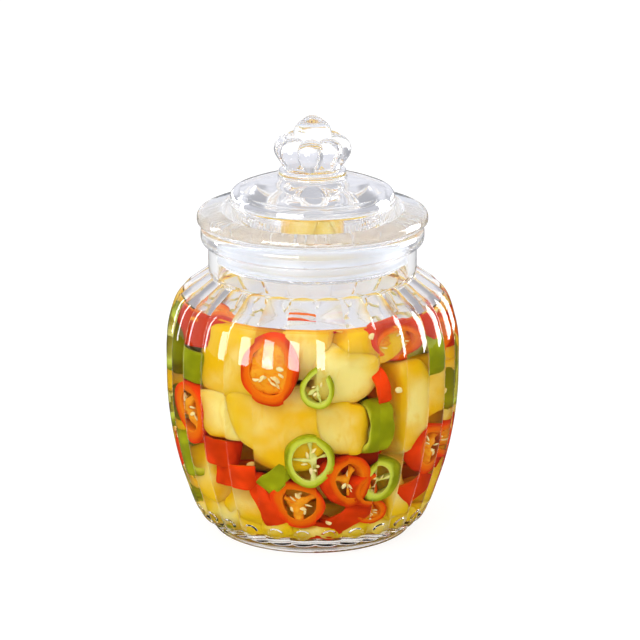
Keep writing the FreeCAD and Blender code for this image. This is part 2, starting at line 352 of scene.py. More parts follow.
def swell(piece, amount, scale, seed):
    """Pushes the points of a piece in and out a little, as cut food is uneven."""
    shift = Vector((seed * 3.7, seed * 1.3, seed * 2.1))
    normals = [vertex.normal.copy() for vertex in piece.data.vertices]
    for vertex, normal in zip(piece.data.vertices, normals):
        push = noise.noise(vertex.co * scale + shift)
        vertex.co += normal * push * amount


def turned(name, stations, steps=128):
    """A closed turned solid, extruded ring by ring through (radius, height) stations."""
    deselect()
    (radius, height), rest = stations[0], stations[1:]
    bpy.ops.mesh.primitive_circle_add(
        vertices=steps, radius=radius, fill_type="TRIFAN", location=(0, 0, height)
    )
    piece = bpy.context.object
    settle(piece)
    edit(piece)
    pick_rims()
    for next_radius, next_height in rest:
        bpy.ops.mesh.extrude_region_move(
            TRANSFORM_OT_translate={"value": (0, 0, next_height - height)}
        )
        ratio = next_radius / radius
        bpy.ops.transform.resize(
            value=(ratio, ratio, 1), center_override=(0, 0, next_height)
        )
        radius, height = next_radius, next_height
    bpy.ops.mesh.extrude_region_move()
    bpy.ops.mesh.merge(type="CENTER")
    leave()
    piece.name = piece.data.name = name
    return piece


# ---------------------------------------------------------------- the jar's inside


class Cavity:
    """The inside of the glass up to the brine's level, read from the brine's solid."""

    def __init__(self, solid):
        points = {
            (round(v.co.z, 5), round(math.hypot(v.co.x, v.co.y), 5))
            for v in solid.data.vertices
        }
        self.rows = []
        for point in sorted(points):
            while len(self.rows) > 1 and self.bends_out(point):
                self.rows.pop()
            self.rows.append(point)
        if self.rows[0][0] == self.rows[1][0]:
            self.rows.pop(0)
        self.floor = self.rows[0][0]
        self.level = self.rows[-1][0]
        self.floor_middle = min(z for z, r in points if r < 0.001)

    def bends_out(self, point):
        (z0, r0), (z1, r1) = self.rows[-2:]
        z2, r2 = point
        return (z1 - z0) * (r2 - r0) - (r1 - r0) * (z2 - z0) >= 0

    def radius(self, height):
        if height <= self.floor:
            return self.rows[0][1]
        for (z0, r0), (z1, r1) in zip(self.rows, self.rows[1:]):
            if height <= z1:
                return r0 + (r1 - r0) * (height - z0) / (z1 - z0)
        return self.rows[-1][1]

    def press(self, mesh, room, top):
        """Keeps every point of a mesh a little inside the glass and under top."""
        for vertex in mesh.vertices:
            place = vertex.co
            place.z = min(max(place.z, self.floor_middle + room), top)
            limit = self.radius(place.z) - room
            out = math.hypot(place.x, place.y)
            if out > limit:
                place.x *= limit / out
                place.y *= limit / out


cavity = Cavity(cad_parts["brine"])


# ---------------------------------------------------------------- settings


def tint(name, description, default):
    return FloatVectorProperty(
        name=name, description=description, default=default, size=3, subtype="COLOR", min=0, max=1
    )


def length(name, description, default):
    return FloatProperty(
        name=name, description=description, default=default, min=0, subtype="DISTANCE", unit="LENGTH"
    )


def amount(name, description, default, top=1.0):
    return FloatProperty(name=name, description=description, default=default, min=0, max=top)


class GlassSettings(bpy.types.PropertyGroup):
    glass_tint: tint("Glass tint", "Colour that the clear glass lets through", (0.975, 0.978, 0.985))
    glass_ior: amount("Glass IOR", "How strongly the glass bends light", 1.5, 2.5)
    ripple: length("Ripple", "Height of the slow waves that pressing leaves in the glass", 0.00006)
    pad: length("Heel pad", "Height of the round pad that each lobe ends in at the heel", 0.0018)
    smudge: amount("Smudge", "Roughness of the most handled patches of the glass", 0.01)
    seal_tint: tint("Seal tint", "Colour of the clear silicone seal", (0.87, 0.92, 1.0))


class BrineSettings(bpy.types.PropertyGroup):
    brine_tint: tint("Brine tint", "Colour that the brine lets through", (1.0, 0.80, 0.10))
    brine_edge: tint("Brine edge", "Colour of the brine's thick edge against the glass", (1.0, 0.74, 0.16))
    brine_strength: amount("Brine strength", "How fast the brine colours light, per metre", 36.0, 500.0)
    brine_ior: amount("Brine IOR", "How strongly the brine bends light", 1.34, 2.0)
    climb: length("Climb", "How far the brine's edge climbs the glass", 0.0014)
    overlap: length("Overlap", "How far the brine reaches into the glass, so that no air shows", 0.00025)


class PickleSettings(bpy.types.PropertyGroup):
    # Cream in the middle of each chunk's faces is a painted highlight, and golden towards the edges is
    # painted shade; the rest of the golden and cream is each chunk's own tone.
    golden: tint("Golden", "Fruit chunk's ripe golden edge", (0.89, 0.555, 0.006))
    cream: tint("Cream", "Fruit chunk's pale middle", (1.0, 0.87, 0.36))
    red_skin: tint("Red skin", "Skin of the red chillies", (0.78, 0.05, 0.001))
    red_flesh: tint("Red flesh", "Inside of the red chillies", (0.84, 0.15, 0.002))
    red_pith: tint("Red pith", "Seed holder of the red chillies", (0.92, 0.38, 0.015))
    green_skin: tint("Green skin", "Skin of the green chillies", (0.33, 0.37, 0.003))
    green_flesh: tint("Green flesh", "Inside of the green chillies", (0.60, 0.68, 0.07))
    green_pith: tint("Green pith", "Seed holder of the green chillies", (0.78, 0.80, 0.30))
    seed_tint: tint("Seed", "Colour of the chilli seeds", (0.90, 0.76, 0.36))
    chunk_size: length("Chunk size", "Usual side of a fruit chunk", 0.024)
    slice_size: length("Slice size", "Usual width of a chilli slice", 0.021)
    loose_seeds: IntProperty(name="Loose seeds", description="Seeds afloat in the brine", default=36, min=0)
    toss: IntProperty(name="Toss", description="Number that the scatter starts from", default=7)


class StudioSettings(bpy.types.PropertyGroup):
    room_light: amount("Room light", "Strength of the soft light from all round", 1.0, 3.0)
    key_power: FloatProperty(
        name="Key lamp",
        description="Power of the soft lamp at the front left",
        default=4.6,
        min=0,
        subtype="POWER",
        unit="POWER",
    )
    card_glow: amount("Card glow", "Strength of the light cards that the glass mirrors", 13.0, 100.0)
    room_edge: amount("Room edge", "How dark the far sides and top of the room are", 0.7)
    room_mirror: amount("Room mirror", "How bright the glass mirrors the front of the room", 0.03)
    room_tint: tint("Room tint", "Colour of the room as seen through the glass", (0.85, 0.86, 0.93))
    camera_distance: length("Camera distance", "From the camera to the middle of the jar", 1.4)
    camera_height: FloatProperty(
        name="Camera elevation",
        description="How far the camera looks down",
        default=math.radians(16.3),
        subtype="ANGLE",
        unit="ROTATION",
    )


# ---------------------------------------------------------------- glass and seal


def wetted_wall(nodes):
    """1 on the inside of the glass below the brine's level, 0 on the rest of it."""
    across, along, up = nodes.place()
    low, top = cavity.floor, cavity.level
    stops = [
        (part, (cavity.radius(low + (top - low) * part) * RAMP_SCALE,) * 3) for part in WALL_PARTS
    ]
    ramp = nodes.add("ShaderNodeValToRGB", {"stops": stops}, {0: nodes.ramp_along(up, low, top)})
    depth = from_axis(across, along) - ramp * (1 / RAMP_SCALE)
    inside = 1.0 - nodes.smooth(depth, 0.9 * MM, 1.3 * MM)
    wet = 1.0 - nodes.smooth(up, top + 0.4 * MM, top + 0.7 * MM)
    bottom = cavity.floor_middle
    underside = 1.0 - nodes.smooth(up, bottom - 1.4 * MM, bottom - 1.3 * MM)
    return inside * wet * (1.0 - underside)


def heel_pads(nodes):
    """1 on the small round pad that each lobe ends in above the heel, 0 round it."""
    across, along, up = nodes.place()
    height, half_wide, half_high = cavity.floor + 4.2 * MM, 3.0 * MM, 2.8 * MM
    half_lobes = LOBES / 2
    turn = (along.maths("ARCTAN2", across) - LOBE_TURN) * half_lobes
    aside = turn.maths("SINE") * (cavity.radius(height) / half_lobes / half_wide)
    above = (up - height) * (1 / half_high)
    return 1.0 - nodes.smooth(aside * aside + above * above, 0.3, 1.1)


def glass_finish(name, settings, ripple_scale, wetted=False):
    finish, nodes = new_finish(name)
    waves = nodes.grain(ripple_scale, 1.0, (1, 1, 0.6))
    if wetted:
        waves = waves + heel_pads(nodes) * (settings.pad / settings.ripple)
    smears = nodes.smooth(nodes.grain(55.0, 4.0, None, 0.8), 0.55, 0.8)
    body = nodes.principled({
        "Base Color": colour(settings.glass_tint),
        "Roughness": smears * settings.smudge,
        "IOR": settings.glass_ior,
        "Transmission Weight": 1.0,
        "Normal": nodes.bump(waves, settings.ripple),
    })
    if wetted:
        bare = nodes.add(
            "ShaderNodeBsdfRefraction",
            None,
            {"Color": colour(settings.glass_tint), "Roughness": 0.0, "IOR": settings.glass_ior},
        )
        gloss = nodes.add("ShaderNodeFresnel", None, {"IOR": settings.glass_ior})
        steep = nodes.smooth(gloss, 0.3, 0.9)
        body = nodes.mix(wetted_wall(nodes) * (1.0 - steep), body, bare)
    nodes.output(see_through(nodes, body))
    return finish


def dress(node, finish):
    """Gives a CAD node one finish."""
    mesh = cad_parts[node].data
    mesh.materials.clear()
    mesh.materials.append(finish)


class PICKLE_OT_glass(bpy.types.Operator):
    """Finish the jar, the lid and the silicone seal"""

    bl_idname = "pickle_jar.glass"
    bl_label = "Glass and Seal"

    def execute(self, context):
        settings = context.scene.jar_glass
        dress("jar", glass_finish("Pressed jar glass", settings, 70.0, True))
        dress("lid", glass_finish("Pressed lid glass", settings, 95.0))
        finish, nodes = new_finish("Clear silicone")
        specks = nodes.grain(900.0, 2.0)
        rubber = nodes.principled({
            "Base Color": colour(settings.seal_tint),
            "Roughness": 0.22 + nodes.grain(180.0, 3.0) * 0.2,
            "IOR": 1.41,
            "Transmission Weight": 0.78,
            "Normal": nodes.bump(specks, 0.00002),
        })
        nodes.output(see_through(nodes, rubber))
        dress("seal", finish)
        return {"FINISHED"}


# ---------------------------------------------------------------- brine


# The brine's edge, from the glass inwards: how far in, in millimetres, and the part of the climb left.
EDGE_CURVE = ((0.8, 0.45), (1.7, 0.15), (3.2, 0.0))


def brine_stations(overlap, climb):
    """The brine's outline from the middle of its floor to the middle of its surface."""
    rim = cavity.rows[0][1]
    stations = [
        (rim * part, cavity.floor_middle + (cavity.floor - cavity.floor_middle) * part**2 - overlap)
        for part in (0.04, 0.35, 0.7)
    ]
    rows = cavity.rows
    for index, (z, r) in enumerate(rows):
        z0, r0 = rows[max(index - 1, 0)]
        z1, r1 = rows[min(index + 1, len(rows) - 1)]
        run = math.hypot(z1 - z0, r1 - r0)
        out, down = (z1 - z0) / run, (r1 - r0) / run
        stations.append((r + out * overlap, z - down * overlap))
    (z0, r0), (z1, r1) = rows[-3], rows[-1]
    lean = (r1 - r0) / (z1 - z0)
    edge = r1 + overlap
    level = cavity.level
    stations[-1] = (edge, level)
    stations.append((edge + lean * climb, level + climb))
    stations += [(edge - inward * MM, level + climb * left) for inward, left in EDGE_CURVE]
    stations += [(edge * 0.6, level), (edge * 0.05, level)]
    return stations


class PICKLE_OT_brine(bpy.types.Operator):
    """Fill the jar with golden brine that wets the glass"""

    bl_idname = "pickle_jar.brine"
    bl_label = "Brine"

    def execute(self, context):
        settings = context.scene.jar_brine
        piece = turned("brine_fill", brine_stations(settings.overlap, settings.climb))
        tidy(piece, 35.0)
        finish, nodes = new_finish("Golden brine")
        across, along, up = nodes.place()
        edge = cavity.rows[-1][1]
        flat = 1.0 - nodes.smooth(from_axis(across, along), edge - 3.6 * MM, edge - 2.2 * MM)
        body = nodes.principled({
            "Base Color": nodes.blend(flat, settings.brine_edge, (1.0, 0.995, 0.98)),
            "Roughness": 0.0,
            "IOR": settings.brine_ior,
            "Transmission Weight": 1.0,
            "Normal": nodes.bump(nodes.grain(60.0, 1.0), 0.00004),
        })
        bare = nodes.add(
            "ShaderNodeBsdfRefraction",
            None,
            {"Color": grey(1), "Roughness": 0.0, "IOR": settings.brine_ior},
        )
        graze = nodes.add("ShaderNodeLayerWeight", None, {"Blend": 0.5}, output="Facing")
        sheen = nodes.add("ShaderNodeBsdfGlossy", None, {"Color": grey(1), "Roughness": 0.05})
        body = nodes.mix(nodes.smooth(graze, 0.57, 0.75) * flat * 0.92, body, sheen)
        under = 1.0 - nodes.smooth(up, cavity.level - 0.2 * MM, cavity.level - 0.1 * MM)
        body = nodes.mix(under, body, bare)
        depth = nodes.add(
            "ShaderNodeVolumeAbsorption",
            None,
            {"Color": colour(settings.brine_tint), "Density": settings.brine_strength},
        )
        nodes.output(see_through(nodes, body), depth)
        piece.data.materials.append(finish)
        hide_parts("brine")
        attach(piece, "root")
        return {"FINISHED"}


# ---------------------------------------------------------------- where pieces lie


class Spot:
    """Where one piece lies: round the jar, up it and in from the glass, in degrees and millimetres."""

    def __init__(
        self, shape, around, up, inset, size, lie="open", roll=0.0, yaw=0.0, pitch=0.0, tone=0.5
    ):
        self.shape = shape
        self.around = around
        self.up = up
        self.inset = inset
        self.size = size
        self.lie = lie
        self.roll = roll
        self.yaw = yaw
        self.pitch = pitch
        self.tone = tone

    def place(self):
        reach = cavity.radius(self.up * MM) - self.inset * MM
        turn = math.radians(self.around)
        return Vector((reach * math.sin(turn), -reach * math.cos(turn), self.up * MM))

    def matrix(self, usual):
        """From a shape at its usual size, facing the front, to its place in the jar."""
        wide, high, deep = (side * MM for side in self.size)
        if self.lie == "side":
            lay = Matrix.Rotation(math.pi / 2, 4, "Z")
            wide, deep = deep, wide
        elif self.lie == "flat":
            lay = Matrix.Rotation(math.pi / 2, 4, "X")
            high, deep = deep, high
        else:
            lay = Matrix.Identity(4)
        scale = Matrix.Diagonal((wide / usual[0], deep / usual[2], high / usual[1], 1.0))
        tilt = (
            Matrix.Rotation(math.radians(self.yaw), 4, "Z")
            @ Matrix.Rotation(math.radians(self.pitch), 4, "X")
            @ Matrix.Rotation(math.radians(self.roll), 4, "Y")
        )
        around = Matrix.Rotation(math.radians(self.around), 4, "Z")
        return Matrix.Translation(self.place()) @ around @ tilt @ lay @ scale


# The pieces that lie against the glass at the front, set out one by one.
FRONT_CHUNKS = [
    Spot(0, -38, 87, 15, (29, 32, 22), roll=3, yaw=-6, tone=0.30),
    Spot(3, -40, 64, 14, (25, 21, 20), roll=-4, tone=0.85),
    Spot(2, -16, 61, 17, (38, 42, 24), roll=-16, yaw=4, tone=0.55),
    Spot(1, 13, 85, 15, (27, 25, 20), roll=9, tone=0.95),
    Spot(4, 13, 62, 15, (26, 25, 20), roll=8, yaw=-4, tone=0.60),
    Spot(5, -4, 93, 16, (22, 20, 18), roll=-3, tone=1.0),
    Spot(1, 27, 95, 15, (27, 17, 20), roll=-6, tone=0.15),
    Spot(0, 48, 67, 15, (19, 44, 22), roll=-2, tone=0.62),
    Spot(5, 44, 31, 15, (14, 32, 20), roll=-6, tone=0.50),
    Spot(3, -34, 25, 15, (23, 22, 20), roll=8, tone=0.22),
    Spot(4, -58, 35, 15, (22, 30, 22), roll=12, tone=0.35),
    Spot(2, 64, 72, 16, (20, 30, 20), roll=5, tone=0.40),
    Spot(0, 66, 22, 16, (22, 18, 18), roll=5, tone=0.40),
    Spot(3, 2, 19, 18, (24, 15, 18), roll=5, tone=0.30),
    Spot(1, -52, 17, 12, (24, 16, 20), roll=12, tone=0.30),
    Spot(2, -18, 13, 12, (26, 12, 20), roll=2, tone=0.25),
    Spot(4, 20, 12, 12, (26, 12, 20), roll=-4, tone=0.35),
    Spot(0, 50, 15, 12, (24, 14, 20), roll=-10, tone=0.30),
    Spot(3, -14, 92, 40, (30, 21, 24), roll=4, tone=0.35),
    Spot(1, 40, 92, 38, (30, 21, 24), roll=-5, tone=0.55),
    Spot(4, 0, 37, 18, (24, 18, 16), roll=-5, tone=0.40),
]
FRONT_REDS = [
    Spot(0, -18, 88, 3.8, (25, 32, 7), roll=4, tone=0.45),
    Spot(1, -7, 27, 4.2, (25, 22, 8), roll=24, yaw=6, tone=0.5),
    Spot(2, 15, 38, 5, (21, 24, 8), roll=-16, yaw=18, tone=0.35),
    Spot(1, 24, 32, 6, (15, 16, 9), roll=-10, yaw=24, tone=0.45),
    Spot(2, 18, 20, 8, (21, 10, 17), "flat", roll=-34, tone=0.30),
    Spot(0, 29, 21, 5.5, (15, 13, 8), roll=10, tone=0.55),
    Spot(2, 30, 79, 9, (8, 17, 16), "side", roll=-14, tone=0.65),
    Spot(0, 40, 98, 7, (27, 19, 10), roll=12, pitch=24, tone=0.25),
    Spot(1, 60, 45, 4.2, (22, 23, 8), roll=14, tone=0.55),
    Spot(2, 57, 28, 8, (20, 13, 16), "flat", roll=-30, tone=0.35),
    Spot(0, -62, 98, 8, (30, 15, 18), "flat", roll=-8, tone=0.0),
    Spot(1, -61, 62, 4.2, (23, 28, 8), roll=-8, tone=0.60),
    Spot(2, -45, 47, 8, (16, 12, 16), "flat", roll=4, tone=0.55),
    Spot(0, -38, 37, 9, (22, 11, 17), "flat", roll=-2, tone=0.60),
    Spot(1, -23, 27, 8, (9, 26, 16), "side", roll=-22, tone=0.45),
    Spot(2, 20, 49, 19, (30, 24, 16), "side", roll=20, tone=0.20),
    Spot(0, -26, 74, 20, (24, 22, 14), "open", roll=20, tone=0.15),
    Spot(1, 5, 13, 9, (20, 9, 16), "flat", roll=6, tone=0.20),
    Spot(2, 70, 92, 7, (20, 20, 9), roll=6, tone=0.15),
    Spot(0, 4, 100, 25, (28, 8, 14), "flat", roll=4, tone=0.50),
]
FRONT_GREENS = [
    Spot(2, 2, 81, 3.2, (14, 19, 5), roll=-6, yaw=-6, tone=0.6),
    Spot(0, -1, 48, 3.8, (20, 25, 7), roll=-5, tone=0.6),
    Spot(1, 32, 36, 5.5, (17, 21, 10), roll=18, yaw=-24, tone=0.35),
    Spot(1, 29, 61, 8, (12, 24, 15), "side", roll=3, yaw=6, tone=0.45),
    Spot(0, -16, 39, 9, (9, 19, 16), "side", roll=42, tone=0.35),
    Spot(1, 61, 86, 7, (11, 18, 15), "side", roll=4, tone=0.45),
    Spot(0, -62, 83, 8, (21, 14, 15), "flat", roll=6, tone=0.30),
    Spot(1, -70, 40, 6, (12, 22, 15), "side", roll=-20, tone=0.40),
    Spot(0, -50, 15, 9, (18, 9, 15), "flat", roll=10, tone=0.40),
]
FRONT_SEEDS = [
    (26, 101, 2), (37, 77, 2), (-60, 101, 2), (-20, 16, 2), (30, 15, 2),
]


def scattered(settings):
    """The pieces at the back and in the middle, tossed from the settings' own number."""
    dice = random.Random(settings.toss)
    chunks, reds, greens = [], [], []
    cuts = len(CHUNK_CUTS)
    side = settings.chunk_size / MM
    span = settings.slice_size / MM
    for row, up in enumerate((23, 46, 69, 91)):
        for step in range(9):
            around = 82 + 22 * step + 11 * (row % 2) + dice.uniform(-4, 4)
            if around > 282:
                continue
            size = (side * dice.uniform(0.85, 1.2), side * dice.uniform(0.8, 1.1), side * 0.85)
            chunks.append(
                Spot(
                    dice.randrange(cuts), around, up + dice.uniform(-4, 4),
                    side / 2 + dice.uniform(0.5, 3.5), size,
                    roll=dice.uniform(-25, 25), yaw=dice.uniform(-12, 12), tone=dice.random(),
                )
            )
        reach = cavity.radius(up * MM) / MM
        for step in range(6):
            around = 60 * step + 25 * row + dice.uniform(-8, 8)
            chunks.append(
                Spot(
                    dice.randrange(cuts), around, up + dice.uniform(-5, 5), reach - 26,
                    (side * 1.05, side, side), roll=dice.uniform(-40, 40), yaw=dice.uniform(-40, 40),
                    tone=dice.random(),
                )
            )
        shape, roll = dice.randrange(cuts), dice.uniform(-40, 40)
        chunks.append(Spot(shape, 0, up, reach - 1, (side, side, side), roll=roll, tone=dice.random()))
    low = cavity.floor / MM + 5.5
    for step in range(20):
        size = (side * dice.uniform(0.6, 0.8), side * dice.uniform(0.36, 0.46), side * 0.7)
        shape, roll = dice.randrange(cuts), dice.uniform(-12, 12)
        chunks.append(Spot(shape, 18 * step, low, 8.5, size, roll=roll, tone=dice.random() * 0.5))
    taken = []
    for _ in range(900):
        around, up = dice.uniform(80, 280), dice.uniform(14, 97)
        here = Spot(0, around, up, 5, (1, 1, 1)).place()
        if any((here - other).length < span * 0.86 * MM for other in taken):
            continue
        taken.append(here)
        wide = span * dice.uniform(0.75, 1.15)
        lie = dice.choice(("open", "open", "open", "side", "flat"))
        size = {
            "open": (wide, wide * dice.uniform(0.9, 1.3), dice.uniform(6, 10)),
            "side": (dice.uniform(7, 12), wide, 15),
            "flat": (wide, dice.uniform(7, 12), 15),
        }[lie]
        inset = 5 if lie == "open" else 8
        kind = reds if dice.random() < 0.56 else greens
        shape = dice.randrange(3)
        turns = (dice.uniform(-40, 40), dice.uniform(-15, 15), dice.uniform(-10, 10))
        kind.append(Spot(shape, around, up, inset, size, lie, *turns, dice.random()))
    return chunks, reds, greens


def strew(name, shapes, usual, spots, finishes, top, room=0.6 * MM):
    """Copies the shapes to the spots, each copy with its own mesh, and joins them."""
    copies = []
    for spot in spots:
        shape = shapes[spot.shape % len(shapes)]
        mesh = shape.data.copy()
        mesh.transform(spot.matrix(usual))
        cavity.press(mesh, room, top)
        tone = mesh.attributes.new("tone", "FLOAT", "POINT")
        tone.data.foreach_set("value", [spot.tone] * len(mesh.vertices))
        copy = bpy.data.objects.new(name, mesh)
        bpy.context.scene.collection.objects.link(copy)
        copies.append(copy)
    piece = join(copies, name)
    for shape in shapes:
        bpy.data.objects.remove(shape)
    if not piece.data.materials:
        for finish in finishes:
            piece.data.materials.append(finish)
    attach(piece, "root")
    return piece


# ---------------------------------------------------------------- fruit chunks

CHUNK_USUAL = (24 * MM, 24 * MM, 20 * MM)
CHUNK_CUTS = [
    [((9, 0, 8), (0.8, 0.1, 0.6))],
    [((-8, 0, 9), (-0.6, 0.1, 0.8)), ((11, 0, -9), (0.9, -0.2, -0.4))],
    [((-8, -2, -7), (-0.8, -0.2, -0.6)), ((9, 0, 9), (0.5, 0.2, 0.8)), ((8, 0, -10), (0.5, 0, -0.85))],
    [((10, -6, 0), (0.7, -0.7, 0.1)), ((-10, 0, -8), (-0.85, 0.1, -0.4))],
    [((-7, 0, 10), (-0.35, 0.1, 0.9)), ((10, 0, 8), (0.9, 0, 0.3))],
    [((0, -7, 9), (0.1, -0.7, 0.7)), ((10, 2, -9), (0.7, 0.2, -0.7))],
]


def fruit_chunk(cuts, seed):
    """A knife-cut piece of soft fruit: a block with its corners cut off and its edges worn."""
    deselect()
    bpy.ops.mesh.primitive_cube_add(size=1)
    piece = bpy.context.object
    sides = piece.scale = (CHUNK_USUAL[0], CHUNK_USUAL[2], CHUNK_USUAL[1])
    settle(piece)
    edit(piece)
    for point, way in cuts:
        bpy.ops.mesh.select_all(action="SELECT")
        bpy.ops.mesh.bisect(
            plane_co=Vector(point) * MM, plane_no=way, use_fill=True, clear_outer=True
        )
    bpy.ops.mesh.select_all(action="SELECT")
    bpy.ops.transform.vertex_random(offset=1.1 * MM, uniform=1.0, seed=seed)
    bpy.ops.mesh.bevel(offset=2.1 * MM, segments=1, affect="EDGES")
    leave()
    subdivide(piece, 2)
    swell(piece, 0.9 * MM, 160.0, seed)
    tidy(piece, 80.0)

    # 1 in the middle of each face and 0 at the edges and corners: the fruit finish turns this into a
    # painted pale highlight in the middles and painted golden shade at the edges.
    def middle(place):
        near = sorted(abs(part) / (side / 2) for part, side in zip(place, sides))
        return max(0.0, 1.0 - near[1] ** 1.6)

    paint(piece, "middle", middle)
    return piece


class PICKLE_OT_chunks(bpy.types.Operator):
    """Cut the fruit chunks and sink them in the brine"""

    bl_idname = "pickle_jar.chunks"
    bl_label = "Fruit Chunks"

    def execute(self, context):
        settings = context.scene.jar_pickles
        finish, nodes = new_finish("Pickled fruit")
        patches = nodes.grain(48.0, 2.0, None, 0.4)
        strands = nodes.grain(130.0, 5.0, (1.6, 1.6, 0.6), 1.2)
        # The middle attribute paints a pale highlight in the middle of each face and golden shade at the
        # edges; tone and patches are each chunk's own colour.
        pale = nodes.attribute("middle") * 0.8 + nodes.attribute("tone") * 0.75
        pale = pale + (patches - 0.5) * 1.8 - 0.45
        flesh = nodes.blend(nodes.smooth(pale, 0.1, 1.05), settings.golden, settings.cream)
        deep = nodes.blend(nodes.smooth(strands, 0.5, 0.72) * 0.45, flesh, settings.golden)
        body = nodes.principled({
            "Base Color": deep,
            "Roughness": 0.3 + strands * 0.25,
            "IOR": 1.1,
            "Subsurface Weight": 0.35,
            "Subsurface Radius": (0.9, 0.6, 0.15),
            "Subsurface Scale": 0.006,
            "Normal": nodes.bump(strands, 0.0008, 0.5),
        })
        nodes.output(body)
        shapes = [fruit_chunk(cuts, seed) for seed, cuts in enumerate(CHUNK_CUTS)]
        spots = FRONT_CHUNKS + scattered(settings)[0]
        strew("fruit_chunks", shapes, CHUNK_USUAL, spots, [finish], cavity.level - 0.7 * MM)
        return {"FINISHED"}


# ---------------------------------------------------------------- chilli slices

SLICE_USUAL = (22 * MM, 22 * MM, 9 * MM)
SEED_USUAL = (2.9 * MM, 2.2 * MM, 0.84 * MM)


def chilli_seed(seed):
    """A flat chilli seed with one pinched end."""
    half_long, half_thick, half_wide = 1.45 * MM, 0.42 * MM, 1.1 * MM
    deselect()
    bpy.ops.mesh.primitive_uv_sphere_add(segments=8, ring_count=5, radius=1.0)
    piece = bpy.context.object
    piece.scale = (half_long, half_thick, half_wide)
    settle(piece)
    for vertex in piece.data.vertices:
        end = max(0.0, vertex.co.x / half_long)
        vertex.co.z *= 1.0 - 0.6 * end**2
        vertex.co.y *= 1.0 - 0.3 * end
    swell(piece, 0.2 * MM, 500.0, seed)
    tidy(piece, 80.0)
    return piece


def seed_holder(depth, pith, reach, arms, seed):
    """The pale core of a slice, with arms that reach out to its wall."""
    deselect()
    bpy.ops.mesh.primitive_cylinder_add(
        vertices=12, radius=pith, depth=depth, rotation=(math.pi / 2, 0, 0)
    )
    core = bpy.context.object
    settle(core)
    for angle, thin in arms:
        way = Vector((math.cos(math.radians(angle)), 0, math.sin(math.radians(angle))))

        def faces_out(face):
            on_core = abs(face.normal.y) < 0.5 and face.calc_center_median().length < pith * 1.2
            return on_core and face.normal.dot(way) > 0.96

        edit(core)
        pick(core, faces_out)
        for out, scale in ((0.5, (thin, thin, thin)), (1.0, (1.4, 1.2, 1.4))):
            bpy.ops.mesh.extrude_region_move(TRANSFORM_OT_translate={"value": way * reach * 0.5})
            bpy.ops.transform.resize(value=scale, center_override=way * (pith + reach * out))
        leave()
    subdivide(core, 2)
    swell(core, 1.5 * MM, 260.0, seed)
    tidy(core, 80.0)
    return core


def chilli_slice(finishes, seed, wall, lobes, pith, arms, seeds, gap=None):
    """A ring of chilli, hollow, with its seed holder and seeds inside."""
    dice = random.Random(seed)
    radius, depth = SLICE_USUAL[0] / 2, SLICE_USUAL[2]

    def rind_depth(place):
        """0 at the skin and 1 at the hollow."""
        return min(1.0, max(0.0, (radius - math.hypot(place.x, place.z)) / wall))

    def in_gap(face):
        middle = face.calc_center_median()
        return gap[0] < math.degrees(math.atan2(middle.z, middle.x)) < gap[1]

    deselect()
    bpy.ops.mesh.primitive_cylinder_add(
        vertices=26, radius=radius, depth=depth, end_fill_type="NGON", rotation=(math.pi / 2, 0, 0)
    )
    ring = bpy.context.object
    settle(ring)
    edit(ring)
    pick(ring, lambda face: abs(face.normal.y) > 0.9)
    bpy.ops.mesh.inset(thickness=wall)
    bpy.ops.mesh.delete(type="FACE")
    pick_rims()
    bpy.ops.mesh.bridge_edge_loops()
    if gap:
        pick(ring, in_gap)
        bpy.ops.mesh.delete(type="FACE")
        bpy.ops.mesh.select_all(action="SELECT")
        bpy.ops.mesh.fill_holes(sides=0)
    bpy.ops.mesh.select_all(action="SELECT")
    bpy.ops.mesh.normals_make_consistent(inside=False)
    leave()
    finish_with(
        ring, "BEVEL", width=wall * 0.24, segments=2, limit_method="ANGLE", angle_limit=0.9
    )
    subdivide(ring, 1)
    paint(ring, "depth", rind_depth)
    for vertex in ring.data.vertices:
        angle = math.atan2(vertex.co.z, vertex.co.x)
        bulge = 1.0 + lobes * math.cos(3 * angle + seed)
        bulge += lobes * 0.7 * math.cos(2 * angle + 2 * seed)
        vertex.co.x *= bulge
        vertex.co.z *= bulge
    swell(ring, 0.5 * MM, 190.0, seed)
    tidy(ring, 60.0)
    reach = radius - wall * 0.8 - pith
    parts = [ring, seed_holder(depth * 0.62, pith, reach, arms, seed + 5)]
    for _ in range(seeds):
        one = chilli_seed(dice.randrange(50))
        angle = dice.uniform(0, 2 * math.pi)
        out = dice.uniform(0.35, 0.72) * (radius - wall)
        front = dice.uniform(-0.44, -0.16) * depth
        one.data.transform(
            Matrix.Translation((math.cos(angle) * out, front, math.sin(angle) * out))
            @ Matrix.Rotation(-angle + dice.uniform(-0.7, 0.7), 4, "Y")
            @ Matrix.Rotation(dice.uniform(0.5, 1.5) * dice.choice((-1, 1)), 4, "X")
        )
        parts.append(one)
    for index, part in enumerate(parts):
        slot = min(index, 2)  # the wall, the seed holder, then every seed
        part.data.materials.clear()
        for finish in finishes:
            part.data.materials.append(finish)
        part.data.polygons.foreach_set("material_index", [slot] * len(part.data.polygons))
    return join(parts, "slice")


